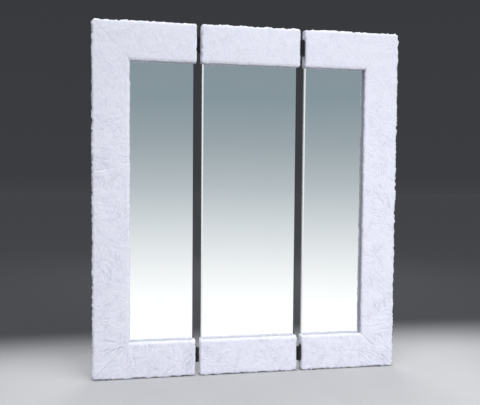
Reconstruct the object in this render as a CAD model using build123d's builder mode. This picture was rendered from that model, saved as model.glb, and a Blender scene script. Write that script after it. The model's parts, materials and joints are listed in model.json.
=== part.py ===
"""Folding room divider screen: three mirrored panels with fur-covered padded borders.

Millimetres, +Z up. The mirrors face -Y and +X is to the right of a person who looks
into them. The origin is the bottom centre of the screen, standing with its panels in
one line. The left panel folds behind the centre one, and the right panel in front.
"""

import os
from dataclasses import dataclass

from build123d import *

# Whole screen
SCREEN_WIDTH = 1600.0
SCREEN_HEIGHT = 1800.0
PANEL_GAP = 26.0
PANEL_WIDTH = (SCREEN_WIDTH - 2 * PANEL_GAP) / 3
PANEL_PITCH = PANEL_WIDTH + PANEL_GAP
GLIDE_HEIGHT = 4.0

# Padded border of a panel, seen from the front
TOP_PAD = 190.0
BOTTOM_PAD = 181.5
STILE_PAD = 181.5
PAD_CORNER_RADIUS = 12.0
PAD_EDGE_RADIUS = 10.0
MITRE_OVERRUN = 40.0

# Layers through a panel, from its front to its back
HALF_THICKNESS = 29.0
FUR = 6.5
WADDING_FRONT_LAYER = 9.5
WADDING_SIDE_LAYER = 6.5
MIRROR_DEPTH = 36.5
MIRROR_GLASS = 4.0
TAPE_LAYER = 1.0
BOARD_THICKNESS = 15.0
LINING_LAYER = 0.6

FUR_FRONT_Y = -HALF_THICKNESS
WADDING_FRONT_Y = FUR_FRONT_Y + FUR
CORE_FRONT_Y = WADDING_FRONT_Y + WADDING_FRONT_LAYER
MIRROR_FACE_Y = FUR_FRONT_Y + MIRROR_DEPTH
MIRROR_BACK_Y = MIRROR_FACE_Y + MIRROR_GLASS
BOARD_FACE_Y = MIRROR_BACK_Y + TAPE_LAYER
BOARD_BACK_Y = BOARD_FACE_Y + BOARD_THICKNESS
FUR_BACK_Y = HALF_THICKNESS
CORE_INSET = FUR + WADDING_SIDE_LAYER

# Mirror glass and the tape strips behind it
MIRROR_TUCK = 20.0
MIRROR_CLEARANCE = 1.0
MIRROR_BEVEL_WIDTH = 7.0
MIRROR_BEVEL_DEPTH = 1.3
TAPE_WIDTH = 20.0
TAPE_END_MARGIN = 30.0
TAPE_STRIPS = 3

# Back of a panel: fur folded over the board, lining and staples
FOLD_WIDTH = 45.0
LINING_MARGIN = 1.0
LINING_EDGE_MARGIN = 16.0
STAPLE_CROWN = 11.0
STAPLE_WIRE = 0.7
STAPLE_LEG = 6.0
STAPLE_INSET = 9.0
STAPLE_HOLE_PLAY = 0.1

# Screws and glides
CORE_SCREW_LENGTH = 30.0
SCREW_RADIUS = 2.0
SCREW_HEAD_RADIUS = 4.0
SCREW_HEAD_DEPTH = 2.0
SCREW_HOLE_PLAY = 0.1
GLIDE_RADIUS = 9.0
GLIDE_EDGE = 1.0
GLIDE_NAIL_RADIUS = 1.2
GLIDE_NAIL_LENGTH = 26.0
GLIDE_HALF_SPACING = 190.0
GLIDE_FRONT_Y = -17.0
GLIDE_BACK_Y = 20.0

# Hinges: one pair of pads each, axis just outside the face that folds shut
HINGE_AXIS_Y = 32.0
HINGE_HEIGHT = 76.0
KNUCKLE_RADIUS = 5.0
KNUCKLE_COUNT = 5
KNUCKLE_END_GAP = 0.2
KNUCKLE_SIDE_GAP = 0.8
PIN_RADIUS = 2.5
PIN_CLEARANCE = 0.05
PIN_HEAD_RADIUS = 4.2
PIN_HEAD_HEIGHT = 2.5
LEAF_THICKNESS = 2.0
LEAF_CORNER_RADIUS = 5.0
BACK_LEAF_WIDTH = 55.0
WALL_LEAF_START = 16.0
WALL_LEAF_END = 52.0
HINGE_SCREW_SPACING = 26.0
BACK_SCREW_OFFSETS = (28.0, 42.0, 28.0)
WALL_SCREW_OFFSET = 34.0
BACK_SCREW_LENGTH = 14.0
WALL_SCREW_LENGTH = 26.0

PANEL_BOTTOM = GLIDE_HEIGHT
PANEL_TOP = SCREEN_HEIGHT
PADS_TOP_INNER = PANEL_TOP - TOP_PAD
PADS_BOTTOM_INNER = PANEL_BOTTOM + BOTTOM_PAD
HINGE_HEIGHTS = {
    "top": (PADS_TOP_INNER + PANEL_TOP) / 2,
    "bottom": (PANEL_BOTTOM + PADS_BOTTOM_INNER) / 2,
}


UPWARD = (Align.CENTER, Align.CENTER, Align.MIN)
DOWNWARD = (Align.CENTER, Align.CENTER, Align.MAX)


@dataclass(frozen=True)
class Panel:
    """One panel: its middle line and which of its sides carries a padded stile."""

    name: str
    middle: float
    outer: int

    @property
    def members(self):
        return ("top", "stile", "bottom") if self.outer else ("top", "bottom")

    @property
    def outer_x(self):
        return self.middle + (self.outer or -1) * PANEL_WIDTH / 2

    @property
    def inner_x(self):
        return self.middle - (self.outer or -1) * PANEL_WIDTH / 2

    @property
    def stile_x(self):
        return self.outer_x - self.outer * STILE_PAD


LEFT = Panel("left", -PANEL_PITCH, -1)
CENTRE = Panel("centre", 0.0, 0)
RIGHT = Panel("right", PANEL_PITCH, 1)
PANELS = (LEFT, CENTRE, RIGHT)


# Outlines, as (x, z) corner points seen from the front


def rectangle(x_a, x_b, z_a, z_b):
    """Corners of an upright rectangle."""
    return ((x_a, z_a), (x_b, z_a), (x_b, z_b), (x_a, z_b))


def bar_outline(panel, member, inset=0.0, inner_inset=None):
    """Corners of a border member with square ends, drawn in by inset from its edges.

    Ends that get a mitre run on past the panel. The edge beside the mirror is drawn in
    by inner_inset, where that is given.
    """
    inner = inset if inner_inset is None else inner_inset
    inward = -(panel.outer or -1)
    gap_x = panel.inner_x - inward * inset
    if member == "stile":
        return rectangle(
            panel.outer_x + inward * inset,
            panel.stile_x - inward * inner,
            PANEL_BOTTOM - MITRE_OVERRUN,
            PANEL_TOP + MITRE_OVERRUN,
        )
    far_inset = -MITRE_OVERRUN if panel.outer else inset
    far_x = panel.outer_x + inward * far_inset
    if member == "top":
        return rectangle(far_x, gap_x, PADS_TOP_INNER + inner, PANEL_TOP - inset)
    return rectangle(far_x, gap_x, PANEL_BOTTOM + inset, PADS_BOTTOM_INNER - inner)


def mitre_outline(panel, member):
    """Corners of a region that holds one border member and is bounded by its mitres."""
    share = MITRE_OVERRUN / STILE_PAD
    inward = -panel.outer
    outer_x = panel.outer_x - inward * MITRE_OVERRUN
    mitre_x = panel.stile_x + inward * MITRE_OVERRUN
    gap_x = panel.inner_x + inward * MITRE_OVERRUN
    top = PANEL_TOP + share * TOP_PAD
    top_inner = PADS_TOP_INNER - share * TOP_PAD
    bottom = PANEL_BOTTOM - share * BOTTOM_PAD
    bottom_inner = PADS_BOTTOM_INNER + share * BOTTOM_PAD
    if member == "top":
        return ((outer_x, top), (gap_x, top), (gap_x, top_inner), (mitre_x, top_inner))
    if member == "bottom":
        corner = (outer_x, bottom)
        return (corner, (gap_x, bottom), (gap_x, bottom_inner), (mitre_x, bottom_inner))
    return ((outer_x, bottom), (outer_x, top), (mitre_x, top_inner), (mitre_x, bottom_inner))


def panel_outline(panel, inset):
    """Corners of the whole panel, drawn in by inset on every side."""
    half = PANEL_WIDTH / 2 - inset
    return rectangle(
        panel.middle - half, panel.middle + half, PANEL_BOTTOM + inset, PANEL_TOP - inset
    )


def mirror_outline(panel, margin=0.0):
    """Corners of the mirror: its ends run under the pads, its free sides to the board."""
    if panel.outer:
        covered_x = panel.stile_x + panel.outer * MIRROR_TUCK
    else:
        covered_x = panel.outer_x + FUR
    free_x = panel.inner_x + (panel.outer or -1) * FUR
    x_low, x_high = sorted((covered_x, free_x))
    return rectangle(
        x_low - margin,
        x_high + margin,
        PADS_BOTTOM_INNER - MIRROR_TUCK - margin,
        PADS_TOP_INNER + MIRROR_TUCK + margin,
    )


def slab(outline, front, back, mode=Mode.ADD, corner_radius=0.0):
    """Flat slab of an outline between two depths."""
    with BuildSketch(Plane.XZ.offset(-back)) as profile:
        with BuildLine():
            Polyline(*outline, close=True)
        make_face()
        if corner_radius:
            fillet(profile.vertices(), corner_radius)
    extrude(profile.sketch, amount=back - front, dir=(0, -1, 0), mode=mode)


def cut_mitres(panel, member):
    """Cut the part off at the member's mitres; a centre pad has none."""
    if panel.outer:
        region = mitre_outline(panel, member)
        slab(
            region, FUR_FRONT_Y - MITRE_OVERRUN, FUR_BACK_Y + MITRE_OVERRUN, Mode.INTERSECT
        )


# Fasteners: each places its solids, or the clearance holes for them


def core_screw_points(panel):
    """Places (x, z) of the screws that hold the cores, three or four to a member."""
    third = PANEL_WIDTH / 3
    rows = (PADS_TOP_INNER + TOP_PAD / 2, PANEL_BOTTOM + BOTTOM_PAD / 2)
    points = [(panel.middle + step * third, z) for z in rows for step in (-1, 0, 1)]
    if panel.outer:
        stile_middle = (panel.outer_x + panel.stile_x) / 2
        span = PADS_TOP_INNER - PADS_BOTTOM_INNER
        points += [(stile_middle, PADS_BOTTOM_INNER + span * part / 4) for part in (1, 2, 3)]
    return points


def core_screws(panel, play=0.0, mode=Mode.ADD):
    """Countersunk screws driven from the back of the board into the cores."""
    planes = [
        Plane((x, BOARD_BACK_Y, z), z_dir=(0, -1, 0)) for x, z in core_screw_points(panel)
    ]
    countersunk_screws(planes, CORE_SCREW_LENGTH, play, mode)


def countersunk_screws(planes, length, play=0.0, mode=Mode.ADD):
    """Screws with flat heads in the planes and shanks along the planes' normals."""
    with Locations(*planes):
        Cone(
            SCREW_HEAD_RADIUS + play,
            SCREW_RADIUS + play,
            SCREW_HEAD_DEPTH,
            align=UPWARD,
            mode=mode,
        )
        Cylinder(SCREW_RADIUS + play, length + play, align=UPWARD, mode=mode)


def glide_points(panel):
    """Places (x, y) of the four glides under a panel."""
    return [
        (panel.middle + side * GLIDE_HALF_SPACING, y)
        for side in (-1, 1)
        for y in (GLIDE_FRONT_Y, GLIDE_BACK_Y)
    ]


def glide_nail_holes(panel):
    """Clearance holes for the glide nails in whatever stands on the glides."""
    with Locations(*[(x, y, GLIDE_HEIGHT) for x, y in glide_points(panel)]):
        Cylinder(
            GLIDE_NAIL_RADIUS + SCREW_HOLE_PLAY,
            GLIDE_NAIL_LENGTH + SCREW_HOLE_PLAY,
            align=UPWARD,
            mode=Mode.SUBTRACT,
        )


def spread(start, end, count):
    """Evenly spaced places between two ends, both included."""
    step = (end - start) / (count - 1)
    return [start + step * index for index in range(count)]


def fold_staples(panel):
    """Places (x, z, upright) of the staples through the fur folded over the back."""
    line = FOLD_WIDTH - STAPLE_INSET
    x_low, x_high = panel.middle - PANEL_WIDTH / 2, panel.middle + PANEL_WIDTH / 2
    across = spread(x_low + 2 * FOLD_WIDTH, x_high - 2 * FOLD_WIDTH, 3)
    places = [(x, z, False) for x in across for z in (PANEL_BOTTOM + line, PANEL_TOP - line)]
    pad_ends = (PADS_BOTTOM_INNER - 2 * STAPLE_INSET, PADS_TOP_INNER + 2 * STAPLE_INSET)
    for side, edge in ((-1, x_low), (1, x_high)):
        if side == panel.outer:
            heights = spread(PANEL_BOTTOM + 3 * FOLD_WIDTH, PANEL_TOP - 3 * FOLD_WIDTH, 9)
        else:
            heights = pad_ends
        places += [(edge - side * line, z, True) for z in heights]
    return places


def lining_sides(panel):
    """Left and right edge of the lining, which is wider where no fur is folded over."""
    low = panel.middle - PANEL_WIDTH / 2
    high = panel.middle + PANEL_WIDTH / 2
    narrow = FOLD_WIDTH + LINING_MARGIN
    low_margin = narrow if panel.outer == -1 else LINING_EDGE_MARGIN
    high_margin = narrow if panel.outer == 1 else LINING_EDGE_MARGIN
    return low + low_margin, high - high_margin


def lining_staples(panel):
    """Places (x, z, upright) of the staples along the long edges of the lining."""
    x_low, x_high = lining_sides(panel)
    heights = spread(PADS_BOTTOM_INNER + 2 * FOLD_WIDTH, PADS_TOP_INNER - 2 * FOLD_WIDTH, 6)
    return [
        (x, z, True) for x in (x_low + STAPLE_INSET, x_high - STAPLE_INSET) for z in heights
    ]


def staples(places, surface, play=0.0, mode=Mode.ADD):
    """Staples in a surface: a crown on it and two legs through it into the board."""
    wire = STAPLE_WIRE + 2 * play
    leg_depth = surface - BOARD_BACK_Y + STAPLE_LEG + play
    planes = [
        Plane((x, surface, z), x_dir=(0, 0, 1) if upright else (1, 0, 0), z_dir=(0, 1, 0))
        for x, z, upright in places
    ]
    with Locations(*planes):
        if mode == Mode.ADD:
            Box(STAPLE_CROWN, wire, wire, align=UPWARD, mode=mode)
        with GridLocations(STAPLE_CROWN - STAPLE_WIRE, 0, 2, 1):
            Box(wire, wire, leg_depth, align=DOWNWARD, mode=mode)


# Hinge geometry


@dataclass(frozen=True)
class Hinge:
    """One joint between two panels: the wing panel's side and the face it folds shut."""

    name: str
    side: int
    facing: int

    @property
    def axis_x(self):
        return self.side * PANEL_PITCH / 2

    @property
    def axis_y(self):
        return self.facing * HINGE_AXIS_Y


LEFT_HINGE = Hinge("left", -1, 1)
RIGHT_HINGE = Hinge("right", 1, -1)
HINGES = (LEFT_HINGE, RIGHT_HINGE)


def knuckle_levels(height, wing):
    """Bottom heights of one leaf's knuckles: the wing has the odd ones, from the ends."""
    pitch = HINGE_HEIGHT / KNUCKLE_COUNT
    base = height - HINGE_HEIGHT / 2
    first = 0 if wing else 1
    return [base + pitch * index for index in range(first, KNUCKLE_COUNT, 2)]


def axis_cylinders(hinge, levels, radius, length, mode=Mode.ADD):
    """Upright cylinders on the hinge's axis, standing on the given heights."""
    with Locations(*[(hinge.axis_x, hinge.axis_y, level) for level in levels]):
        Cylinder(radius, length, align=UPWARD, mode=mode)


def leaf_outline(hinge, toward):
    """Cross-section of a leaf, seen from above, that reaches to one side of the axis."""
    if hinge.facing == 1:
        near, far = LEAF_THICKNESS / 2, LEAF_THICKNESS * 3 / 2
        local = ((0, -near), (BACK_LEAF_WIDTH, -near), (BACK_LEAF_WIDTH, -far), (0, -far))
    else:
        wall = PANEL_GAP / 2
        face = wall - LEAF_THICKNESS
        reach = KNUCKLE_RADIUS * 0.84
        local = (
            (wall, WALL_LEAF_END),
            (wall, WALL_LEAF_START),
            (reach, LEAF_THICKNESS),
            (reach - LEAF_THICKNESS * 0.8, LEAF_THICKNESS * 1.8),
            (face, WALL_LEAF_START + LEAF_THICKNESS / 2),
            (face, WALL_LEAF_END),
        )
    return [(hinge.axis_x + toward * x, hinge.axis_y + y) for x, y in local]


def leaf_screw_planes(hinge, height, toward):
    """Planes of a leaf's screw heads, each normal pointing the way its screw is driven."""
    planes = []
    for step, offset_x in zip((-1, 0, 1), BACK_SCREW_OFFSETS):
        z = height + step * HINGE_SCREW_SPACING
        if hinge.facing == 1:
            x = hinge.axis_x + toward * offset_x
            y = hinge.axis_y - LEAF_THICKNESS / 2
            planes.append(Plane((x, y, z), z_dir=(0, -1, 0)))
        else:
            x = hinge.axis_x + toward * (PANEL_GAP / 2 - LEAF_THICKNESS)
            y = hinge.axis_y + WALL_SCREW_OFFSET
            planes.append(Plane((x, y, z), z_dir=(toward, 0, 0)))
    return planes


def hinge_screws(hinge, toward, play=0.0, mode=Mode.ADD):
    """Screws of both leaves on one side of a hinge's axis, at the top and the bottom."""
    length = BACK_SCREW_LENGTH if hinge.facing == 1 else WALL_SCREW_LENGTH
    planes = []
    for height in HINGE_HEIGHTS.values():
        planes += leaf_screw_planes(hinge, height, toward)
    countersunk_screws(planes, length, play, mode)


def panel_hinge_screw_holes(panel):
    """Clearance holes for every hinge screw that is driven into a panel."""
    for hinge in HINGES:
        if panel.outer == hinge.side:
            hinge_screws(hinge, hinge.side, SCREW_HOLE_PLAY, Mode.SUBTRACT)
        elif panel.outer == 0:
            hinge_screws(hinge, -hinge.side, SCREW_HOLE_PLAY, Mode.SUBTRACT)


# Pieces of a panel


def backboard(panel):
    """White-laminated board behind everything, drilled for its fasteners."""
    with BuildPart() as board:
        slab(panel_outline(panel, FUR), BOARD_FACE_Y, BOARD_BACK_Y)
        core_screws(panel, SCREW_HOLE_PLAY, Mode.SUBTRACT)
        staples(fold_staples(panel), FUR_BACK_Y, STAPLE_HOLE_PLAY, Mode.SUBTRACT)
        surface = BOARD_BACK_Y + LINING_LAYER
        staples(lining_staples(panel), surface, STAPLE_HOLE_PLAY, Mode.SUBTRACT)
        glide_nail_holes(panel)
        panel_hinge_screw_holes(panel)
    return board.part


def mirror_glass(panel):
    """Float-glass mirror with a wide bevel along each upright edge beside a gap."""
    with BuildPart() as glass:
        slab(mirror_outline(panel), MIRROR_FACE_Y, MIRROR_BACK_Y)
        front = glass.faces().sort_by(Axis.Y)[0]
        free_edges = front.edges().filter_by(Axis.Z).sort_by(Axis.X)
        if panel.outer:
            free_edges = [free_edges[0 if panel.outer > 0 else -1]]
        chamfer(free_edges, MIRROR_BEVEL_WIDTH, MIRROR_BEVEL_DEPTH, reference=front)
    return glass.part


def mirror_tape(panel):
    """Upright strips of mounting tape between the mirror and the board."""
    corners = mirror_outline(panel, -TAPE_END_MARGIN)
    (x_low, z_low), (x_high, z_high) = corners[0], corners[2]
    half = TAPE_WIDTH / 2
    with BuildPart() as tape:
        for x in spread(x_low, x_high, TAPE_STRIPS):
            slab(rectangle(x - half, x + half, z_low, z_high), MIRROR_BACK_Y, BOARD_FACE_Y)
    return tape.part


def mirror_pocket(panel):
    """Rebate that takes the edge of the mirror under the border."""
    pocket = mirror_outline(panel, MIRROR_CLEARANCE)
    slab(pocket, MIRROR_FACE_Y, BOARD_FACE_Y, Mode.SUBTRACT)


def core(panel, member):
    """Timber core of one border member, rebated over the mirror."""
    with BuildPart() as timber:
        slab(bar_outline(panel, member, CORE_INSET), CORE_FRONT_Y, BOARD_FACE_Y)
        mirror_pocket(panel)
        cut_mitres(panel, member)
        core_screws(panel, SCREW_HOLE_PLAY, Mode.SUBTRACT)
        glide_nail_holes(panel)
        panel_hinge_screw_holes(panel)
    return timber.part


def wadding(panel, member):
    """Padding wrapped over the front and sides of a core."""
    with BuildPart() as padding:
        slab(bar_outline(panel, member, FUR), WADDING_FRONT_Y, BOARD_FACE_Y)
        timber = bar_outline(panel, member, CORE_INSET)
        slab(timber, CORE_FRONT_Y, BOARD_FACE_Y, Mode.SUBTRACT)
        mirror_pocket(panel)
        cut_mitres(panel, member)
        glide_nail_holes(panel)
        panel_hinge_screw_holes(panel)
    return padding.part


def fur_cover(panel, member):
    """Long-pile fabric over the wadding, round the board's edge and onto its back."""
    padding = bar_outline(panel, member, FUR)
    board = bar_outline(panel, member, FUR, -MITRE_OVERRUN)
    window = bar_outline(panel, member, FOLD_WIDTH, -MITRE_OVERRUN)
    with BuildPart() as cover:
        slab(
            bar_outline(panel, member),
            FUR_FRONT_Y,
            FUR_BACK_Y,
            corner_radius=PAD_CORNER_RADIUS,
        )
        fillet(cover.faces().sort_by(Axis.Y)[0].edges(), PAD_EDGE_RADIUS)
        slab(padding, WADDING_FRONT_Y, MIRROR_FACE_Y, Mode.SUBTRACT)
        slab(board, MIRROR_FACE_Y, BOARD_BACK_Y, Mode.SUBTRACT)
        slab(window, BOARD_BACK_Y, FUR_BACK_Y, Mode.SUBTRACT)
        cut_mitres(panel, member)
        staples(fold_staples(panel), FUR_BACK_Y, STAPLE_HOLE_PLAY, Mode.SUBTRACT)
        glide_nail_holes(panel)
        panel_hinge_screw_holes(panel)
    return cover.part


def back_lining(panel):
    """Thin cloth over the back of the board, out to the folded fur."""
    x_low, x_high = lining_sides(panel)
    between_folds = panel_outline(panel, FOLD_WIDTH + LINING_MARGIN)
    beside_mirror = rectangle(
        x_low, x_high, PADS_BOTTOM_INNER + LINING_MARGIN, PADS_TOP_INNER - LINING_MARGIN
    )
    surface = BOARD_BACK_Y + LINING_LAYER
    with BuildPart() as lining:
        for outline in (between_folds, beside_mirror):
            slab(outline, BOARD_BACK_Y, surface)
        staples(lining_staples(panel), surface, STAPLE_HOLE_PLAY, Mode.SUBTRACT)
    return lining.part


def panel_staples(panel):
    """Every staple in the back of a panel."""
    with BuildPart() as wires:
        staples(fold_staples(panel), FUR_BACK_Y)
        staples(lining_staples(panel), BOARD_BACK_Y + LINING_LAYER)
    return wires.part


def panel_core_screws(panel):
    """The screws that hold the cores to the board."""
    with BuildPart() as screws:
        core_screws(panel)
    return screws.part


def panel_glides(panel):
    """Four nylon glides under a panel, each with its nail."""
    with BuildPart() as glides:
        with Locations(*[(x, y, 0) for x, y in glide_points(panel)]):
            Cylinder(GLIDE_RADIUS, GLIDE_HEIGHT, align=UPWARD)
        rims = glides.edges().filter_by(GeomType.CIRCLE).group_by(Axis.Z)[0]
        fillet(rims, GLIDE_EDGE)
        with Locations(*[(x, y, GLIDE_HEIGHT) for x, y in glide_points(panel)]):
            Cylinder(GLIDE_NAIL_RADIUS, GLIDE_NAIL_LENGTH, align=UPWARD)
    return glides.part


# Pieces of a hinge


def hinge_leaf(hinge, height, wing):
    """One leaf with its knuckles, on the wing's or the centre panel's side."""
    toward = hinge.side if wing else -hinge.side
    pitch = HINGE_HEIGHT / KNUCKLE_COUNT
    own_levels = knuckle_levels(height, wing)
    other_levels = knuckle_levels(height, not wing)
    with BuildPart() as leaf:
        with BuildSketch(Plane.XY.offset(height - HINGE_HEIGHT / 2)) as section:
            with BuildLine():
                Polyline(*leaf_outline(hinge, toward), close=True)
            make_face()
        extrude(amount=HINGE_HEIGHT)
        tip_direction = Axis.X if hinge.facing == 1 else Axis.Y
        tips = leaf.faces().filter_by(tip_direction).sort_by(tip_direction)
        tip = tips[0] if hinge.facing == 1 and toward == -1 else tips[-1]
        across = Axis.Y if hinge.facing == 1 else Axis.X
        fillet(tip.edges().filter_by(across), LEAF_CORNER_RADIUS)
        axis_cylinders(
            hinge,
            [level - KNUCKLE_END_GAP / 2 for level in other_levels],
            KNUCKLE_RADIUS + KNUCKLE_SIDE_GAP,
            pitch + KNUCKLE_END_GAP,
            Mode.SUBTRACT,
        )
        axis_cylinders(
            hinge,
            [level + KNUCKLE_END_GAP / 2 for level in own_levels],
            KNUCKLE_RADIUS,
            pitch - KNUCKLE_END_GAP,
        )
        bore = PIN_RADIUS + PIN_CLEARANCE
        axis_cylinders(hinge, [height - HINGE_HEIGHT / 2], bore, HINGE_HEIGHT, Mode.SUBTRACT)
        screw_planes = leaf_screw_planes(hinge, height, toward)
        countersunk_screws(
            screw_planes, LEAF_THICKNESS * 2, SCREW_HOLE_PLAY, Mode.SUBTRACT
        )
    return leaf.part


def hinge_pins(hinge):
    """The two pins of one joint, each with a button at both ends."""
    half = HINGE_HEIGHT / 2 + KNUCKLE_END_GAP
    with BuildPart() as pins:
        for height in HINGE_HEIGHTS.values():
            axis_cylinders(hinge, [height - half], PIN_RADIUS, 2 * half)
            heads = [height - half - PIN_HEAD_HEIGHT, height + half]
            axis_cylinders(hinge, heads, PIN_HEAD_RADIUS, PIN_HEAD_HEIGHT)
    return pins.part


def hinge_side_screws(hinge, wing):
    """The screws that hold a joint's leaves to one of its panels."""
    with BuildPart() as screws:
        hinge_screws(hinge, hinge.side if wing else -hinge.side)
    return screws.part


# Assembly: every piece with the name of its node


def panel_pieces(panel):
    """Named pieces of one panel."""
    pieces = {
        "backboard": backboard(panel),
        "mirror": mirror_glass(panel),
        "mirror_tape": mirror_tape(panel),
        "back_lining": back_lining(panel),
        "staples": panel_staples(panel),
        "core_screws": panel_core_screws(panel),
        "glides": panel_glides(panel),
    }
    for member in panel.members:
        pieces[f"core_{member}"] = core(panel, member)
        pieces[f"wadding_{member}"] = wadding(panel, member)
        pieces[f"fur_{member}"] = fur_cover(panel, member)
    return {f"{panel.name}_{name}": piece for name, piece in pieces.items()}


def hinge_pieces(hinge):
    """Named pieces of one joint's two hinges."""
    pieces = {"hinge_pins": hinge_pins(hinge)}
    for half, wing in (("wing", True), ("centre", False)):
        pieces[f"hinge_{half}_screws"] = hinge_side_screws(hinge, wing)
        for level, height in HINGE_HEIGHTS.items():
            pieces[f"hinge_{level}_{half}_leaf"] = hinge_leaf(hinge, height, wing)
    return {f"{hinge.name}_{name}": piece for name, piece in pieces.items()}


def main():
    """Build every piece and write it to parts/."""
    os.makedirs("parts", exist_ok=True)
    pieces = {}
    for panel in PANELS:
        pieces.update(panel_pieces(panel))
    for hinge in HINGES:
        pieces.update(hinge_pieces(hinge))
    for name, piece in pieces.items():
        piece.label = name
        export_step(piece, f"parts/{name}.step")
    print(len(pieces), "pieces")


main()
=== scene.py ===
"""Folding room divider screen: its fur, mirrors and hardware in a plain studio.

Everything is in metres in the part's own frame: +Z up, the mirrors face -Y, and the panels stand in one
line along X. The fur covers are built here and stand for the part's plain fur and wadding solids. Every
other piece is the part's own, with a better finish.
"""

import json
import math
from dataclasses import dataclass

import bpy
import numpy as np
from mathutils import Matrix, Vector


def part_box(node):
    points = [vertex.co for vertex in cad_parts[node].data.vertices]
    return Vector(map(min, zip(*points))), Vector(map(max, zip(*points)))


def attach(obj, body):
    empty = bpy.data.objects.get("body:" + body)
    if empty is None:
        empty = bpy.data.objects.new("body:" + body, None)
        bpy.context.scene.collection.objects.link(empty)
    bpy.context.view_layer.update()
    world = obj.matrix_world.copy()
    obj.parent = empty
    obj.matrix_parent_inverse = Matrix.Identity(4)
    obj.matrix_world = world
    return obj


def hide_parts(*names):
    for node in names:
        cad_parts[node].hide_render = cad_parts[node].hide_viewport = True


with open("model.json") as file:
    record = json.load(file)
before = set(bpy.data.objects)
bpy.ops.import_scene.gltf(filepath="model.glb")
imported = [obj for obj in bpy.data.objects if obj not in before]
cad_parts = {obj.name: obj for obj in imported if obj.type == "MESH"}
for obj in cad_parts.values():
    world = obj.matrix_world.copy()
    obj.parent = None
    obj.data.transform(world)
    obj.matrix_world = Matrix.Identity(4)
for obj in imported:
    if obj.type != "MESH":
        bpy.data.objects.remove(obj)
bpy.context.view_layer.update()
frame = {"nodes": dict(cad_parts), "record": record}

MM = 0.001
FAR = 1.0
TINY = 1e-9
TINY_AREA = 1e-12
SIDES = {"left": -1, "centre": 0, "right": 1}

# The shape of a fur cover
FUR = 6.5 * MM
FOLD_WIDTH = 45 * MM
FRONT_RADIUS = 11 * MM
BACK_RADIUS = 6 * MM
TUCK_RADIUS = 9 * MM
OUTER_CORNER_RADIUS = 15 * MM
FAN_LENGTH = 120 * MM
SHORT_PAD_STEP = 2.3 * MM
STILE_STEP = 2.75 * MM
ON_GLASS = 0.01 * MM

FUR_FRONT_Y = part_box("centre_fur_top")[0].y
FUR_BACK_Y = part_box("centre_fur_top")[1].y
GLASS_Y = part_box("centre_mirror")[0].y - 0.1 * MM
BOARD_BACK_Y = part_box("centre_backboard")[1].y

# The nap: patches brushed different ways, measured as turns from straight down, each with its tone
NAP_TURNS = tuple(math.radians(turn) for turn in (-62, -24, 12, 48, 96))
NAP_TONES = (0.0, -1.0, 0.5, -0.5, 1.0)
NAP_PATCH = 52 * MM
NAP_CONTRAST = 9.0

# Fibres of the nap: their sizes along, across and through the face, their heights in mm, and their tones,
# which are painted shade: darker where the fibres and patches lie low, lighter where they stand high
FINE_FIBRE = (0.020, 0.0062, 0.008)
BROAD_FIBRE = (0.046, 0.015, 0.02)
FINE_HEIGHT = 0.50
BROAD_HEIGHT = 0.85
PATCH_HEIGHT = 0.15
FINE_PAINTED_SHADE = 0.22
BROAD_PAINTED_SHADE = 0.36
PATCH_PAINTED_SHADE = 0.12

# Where the fur is calm, and how much of its relief and tone is left there
CALM_FROM = 0.9
CALM_OVER = 0.75
CALMING = 0.75
CALM_HEIGHT = 0.45
CALM_TONE = 0.6

# Slow swells under the nap
SWELL_HEIGHT = 0.6 * MM
SWELL_SIZE = 0.075
SWELL_TONE = 0.10
SWELL_TONE_SIZE = 0.11

# Thin wrinkles that wander over the face
WRINKLE_TURNS = (0.5, -0.9, 1.5)
WRINKLE_SIZE = (0.055, 0.021, 0.05)
WRINKLE_DEPTH = 0.8 * MM
WRINKLE_WIDTH = 0.10
WRINKLE_PLACE = 0.085
WRINKLE_EASE = 0.35

# Clusters of creases: ranges and spreads of random draws, in mm, in radians or as shares of a length
CREASE_SEED = 500
CLUSTER_CELL = 88 * MM
CLUSTER_RUN = (0.04, 0.96)
CLUSTER_REACH = (0.08, 0.92)
CLUSTER_LEAN = 0.9
FLOW_SIZE = 0.3
FLOW_TURN = 1.3
CLUSTER_TURN_SPREAD = 0.2
CLUSTER_LENGTH = (30, 75)
CLUSTER_COUNT = (3, 8)
CREASE_SPACING = (8, 13)
CREASE_SLIP = 9
CREASE_TURN_SPREAD = 0.14
CREASE_SHARE = (0.5, 1.3)
CREASE_WIDTH = (2.4, 4.0)
CREASE_DEPTH = (0.5, 1.7)
CREASE_BOW = (0.07, 0.05)

# Creases that fan out at the stiles' inner corners, in degrees and mm: the counts lean down and up
FAN_COUNTS = {-1: 9, 1: 3}
FAN_MIDDLE = 45
FAN_STEP = 15
FAN_SPREAD = 7
FAN_CREASE_LENGTH = (35, 110)
FAN_CREASE_START = (12, 110)
FAN_CREASE_DEPTH = (0.9, 2.2)
FAN_CREASE_WIDTH = (3, 5)
FAN_CREASE_BOW = 7

# What all furrows together may come to, how far round each one is worked out, and the painted shade per mm
# of depth that darkens them and lightens their lips
FURROW_DEPTH = 2.8 * MM
LIP_HEIGHT = 1.3 * MM
FURROW_MARGIN = 0.03
FURROW_PAINTED_SHADE = 0.24

# Tufts: sizes in metres, heights in mm
TUFT_SIZE = 0.0068
DRIFT_SIZE = 0.026
LOCK_SIZE = (0.011, 0.009, 0.011)
FACE_TUFTS = 0.30
EDGE_TUFTS = 1.6
EDGE_DRIFT = 5.5
EDGE_LOCKS = 12.0
OPENING_SHAGGINESS = 0.45
BACK_SMOOTHING = 0.7

# The tufted rim of a mirror's opening with a painted highlight, and the recess between it and the glass with
# painted shade
RIM_DEPTH = 8 * MM
RIM_SPREAD = 5 * MM
RIM_HEIGHT = 1.6
RIM_LOCKS = 3.0
RIM_LOCK_SIZE = (0.008, 0.03, 0.008)
RIM_LOWEST_LOCK = -0.3
RIM_PAINTED_HIGHLIGHT = 0.5
RECESS_EASE = 9 * MM
RECESS_PAINTED_SHADE = 1.1

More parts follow.
